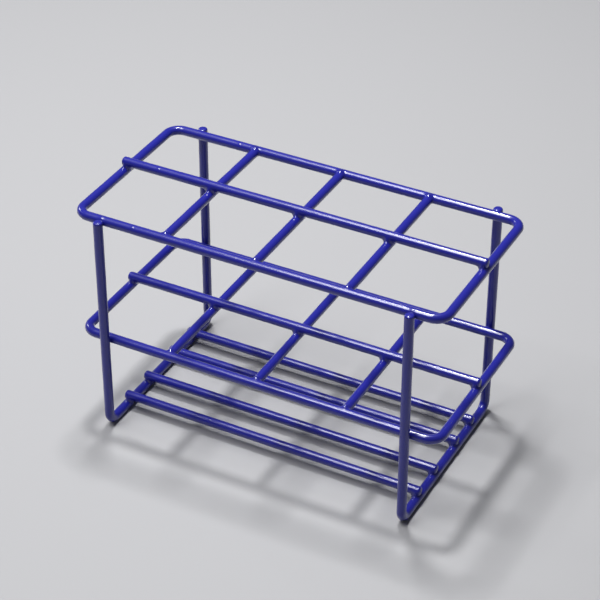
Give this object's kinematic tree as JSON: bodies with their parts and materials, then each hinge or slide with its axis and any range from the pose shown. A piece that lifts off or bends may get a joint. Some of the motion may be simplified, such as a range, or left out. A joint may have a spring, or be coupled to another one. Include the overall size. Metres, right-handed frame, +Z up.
{
  "type": "wire test tube rack",
  "caption": "Rectangular test tube rack of plastic-coated steel wire: two open decks with cross wires, bent wire end frames and lengthwise base wires, for large tubes.",
  "frame": {"origin": "on the table plane, below the middle of the rack", "axes": "+X along the long side, +Y along the short side towards the back, +Z up"},
  "size_m": [0.1446, 0.0768, 0.0933],
  "materials": {
    "blue_coated_wire": "thick glossy plastic coat on steel wire"
  },
  "bodies": {
    "root": {"upper_ring": "blue_coated_wire", "lower_ring": "blue_coated_wire", "upper_cross_wire_left": "blue_coated_wire", "upper_cross_wire_middle": "blue_coated_wire", "upper_cross_wire_right": "blue_coated_wire", "upper_centre_wire": "blue_coated_wire", "lower_cross_wire_left": "blue_coated_wire", "lower_cross_wire_middle": "blue_coated_wire", "lower_cross_wire_right": "blue_coated_wire", "lower_centre_wire": "blue_coated_wire", "left_end_frame": "blue_coated_wire", "right_end_frame": "blue_coated_wire", "base_wire_front_outer": "blue_coated_wire", "base_wire_front_inner": "blue_coated_wire", "base_wire_back_inner": "blue_coated_wire", "base_wire_back_outer": "blue_coated_wire"}
  },
  "joints": []
}
